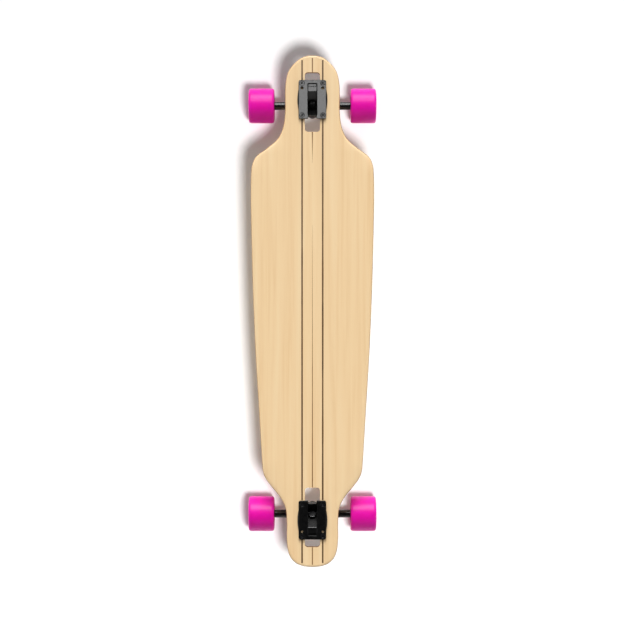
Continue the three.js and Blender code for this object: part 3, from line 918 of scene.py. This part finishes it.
def bearing(node, place, direction, body, hanger_body):
    """The outer race, shield and ring turn with the wheel. The inner race and washer stay on the axle."""
    def span(profile):
        return [(radius, direction * height) for radius, height in profile]

    race = rounded([(9.3, 5.1), (10.9, 5.1), (10.9, 12), (9.3, 12)], 0.45)
    turned(f"{node}_outer_race", span(race), place, "zinc", body, [node], 64)
    shield = rounded([(6.5, 11.2), (7.1, 11.2), (7.4, 11.5), (8.7, 11.5), (9.2, 11.1), (9.28, 11.3),
                      (8.8, 11.8), (6.5, 11.8)], 0.12, 2)
    turned(f"{node}_shield", span(shield), place, "shield", body, (), 64)
    clip = rounded([(8.85, 11.55), (9.25, 11.35), (9.28, 11.75), (8.95, 11.9)], 0.1, 2)
    turned(f"{node}_retaining_ring", span(clip), place, "zinc", body, (), 64)
    inner = rounded([(4.3, 5.1), (6.1, 5.1), (6.1, 12), (4.3, 12)], 0.3)
    turned(f"{node}_inner_race", span(inner), place, "zinc", hanger_body, (), 48)
    washer = rounded([(4.3, 12.05), (5.8, 12.05), (5.8, 12.7), (4.3, 12.7)], 0.15, 2)
    turned(f"{node}_speed_washer", span(washer), place, "zinc", hanger_body, (), 40)


# ---- Floor, lights and camera ---------------------------------------------------------------------

CAMERA_HEIGHT = 2.8
FRAME_WIDTH = 1.238
SENSOR = 36
CAMERA_X, CAMERA_Y = -0.0008, -0.0015
FLOOR_HALF = 12
GLOW_START, GLOW_END, GLOW = 2.2, 7, 0.55  # distances in metres, and the strength reached


def stage():
    """A wide pale floor that glows a little far out, so that it meets the bright horizon."""
    corners = [(-FLOOR_HALF, -FLOOR_HALF, 0), (FLOOR_HALF, -FLOOR_HALF, 0), (FLOOR_HALF, FLOOR_HALF, 0),
               (-FLOOR_HALF, FLOOR_HALF, 0)]
    mesh = bpy.data.meshes.new("floor")
    mesh.from_pydata(corners, [], [(0, 1, 2, 3)])
    floor = new_object("floor", mesh)
    white = (1, 1, 1, 1)
    shader = Shader("pale paper floor", Roughness=0.9, Specular_IOR_Level=0.1, Emission_Color=white)
    paper = shader.noise((3, 3, 3), detail=2)
    tone = shader.ramp(paper, (0.3, (0.93, 0.93, 0.93, 1)), (0.7, (0.95, 0.95, 0.95, 1)))
    spot = shader.node("ShaderNodeTexCoord").outputs["Object"]
    distance = shader.node("ShaderNodeVectorMath", {0: spot}, operation="LENGTH").outputs["Value"]
    glow = shader.remap(distance, GLOW_START, GLOW_END, 0, GLOW)
    mesh.materials.append(shader.done(Base_Color=tone, Emission_Strength=glow))


def hang_light(name, data, place, target, reaches):
    """A light that reaches only the floor, only the object, or only the pieces whose names hold a word."""
    light = bpy.data.objects.new(name, data)
    light.location = place
    light.rotation_euler = (Vector(target) - Vector(place)).to_track_quat("-Z", "Y").to_euler()
    bpy.context.scene.collection.objects.link(light)
    linked = bpy.data.collections.new(f"{name} link")
    if reaches in ("floor", "object"):
        linked.objects.link(bpy.data.objects["floor"])
        linked.collection_objects[0].light_linking.link_state = "INCLUDE" if reaches == "floor" else "EXCLUDE"
    else:
        for piece in bpy.data.objects:
            if piece.type == "MESH" and any(word in piece.name for word in reaches):
                linked.objects.link(piece)
    light.light_linking.receiver_collection = linked


def area_light(name, place, target, size, power, reaches):
    data = bpy.data.lights.new(name, "AREA")
    data.shape = "RECTANGLE"
    data.size, data.size_y = size
    data.energy = power
    hang_light(name, data, place, target, reaches)


def sun_light(name, place, spread, strength, reaches):
    data = bpy.data.lights.new(name, "SUN")
    data.energy = strength
    data.angle = math.radians(spread)
    hang_light(name, data, place, (0, 0, 0), reaches)


def even_lamp(name, place, radius, power, reaches):
    """A near lamp whose light doesn't weaken with distance, so that a far floor stays bright."""
    data = bpy.data.lights.new(name, "POINT")
    data.energy = power
    data.shadow_soft_size = radius
    data.use_nodes = True
    falloff = data.node_tree.nodes.new("ShaderNodeLightFalloff")
    falloff.inputs["Strength"].default_value = 1
    emission = data.node_tree.nodes["Emission"]
    data.node_tree.links.new(falloff.outputs["Constant"], emission.inputs["Strength"])
    hang_light(name, data, place, (0, 0, 0), reaches)


SKY = ((0.03, 0.97), (0.25, 0.5), (0.7, 0.47), (0.9, 0.02))  # height of a direction, and its brightness


def studio_air():
    """A soft grey-white room, brighter round the horizon and dark overhead."""
    world = bpy.data.worlds.new("studio")
    world.use_nodes = True
    nodes, links = world.node_tree.nodes, world.node_tree.links
    direction = nodes.new("ShaderNodeTexCoord")
    split = nodes.new("ShaderNodeSeparateXYZ")
    ramp = nodes.new("ShaderNodeValToRGB")
    ramp.color_ramp.interpolation = "EASE"
    elements = ramp.color_ramp.elements
    while len(elements) < len(SKY):
        elements.new(0.5)
    for element, (height, brightness) in zip(elements, SKY):
        element.position = height
        element.color = (brightness, brightness, brightness, 1)
    links.new(direction.outputs["Generated"], split.inputs["Vector"])
    links.new(split.outputs["Z"], ramp.inputs["Fac"])
    links.new(ramp.outputs["Color"], nodes["Background"].inputs["Color"])
    bpy.context.scene.world = world


def lights():
    studio_air()
    even_lamp("shadow lamp", (0.52, -0.74, 2.8), 0.36, 36, "floor")
    sun_light("nose window", (0, 4, 2.8), 28, 2.3, "object")
    sun_light("deck window", (0, 1.5, 2.8), 28, 0.95, ("deck", "pinstripe", "centre_line"))
    area_light("highlight strip", (0, 2.4, 3.3), (0, 0, 0.05), (2.2, 0.3), 48, ("wheel", "hanger", "axle"))
    plate = ("front_baseplate", "front_bolt")
    area_light("plate card", (0, 0.82, 2.7), (0, 0.42, 0.1), (0.6, 0.4), 8.5, plate)
    bpy.context.scene.view_settings.view_transform = "Standard"


def camera():
    data = bpy.data.cameras.new("camera")
    data.sensor_width = SENSOR
    data.lens = SENSOR * CAMERA_HEIGHT / FRAME_WIDTH
    view = bpy.data.objects.new("camera", data)
    view.location = (CAMERA_X, CAMERA_Y, DECK_TOP + CAMERA_HEIGHT)
    bpy.context.scene.collection.objects.link(view)
    bpy.context.scene.camera = view


camera()
stage()
make_deck()
make_inlays()
for truck in TRUCKS:
    baseplate(truck)
    hanger(truck)
    kingpin_set(truck)
    axle(truck)
    fasteners(truck)
    for side in SIDES:
        wheel(truck, side)
lights()
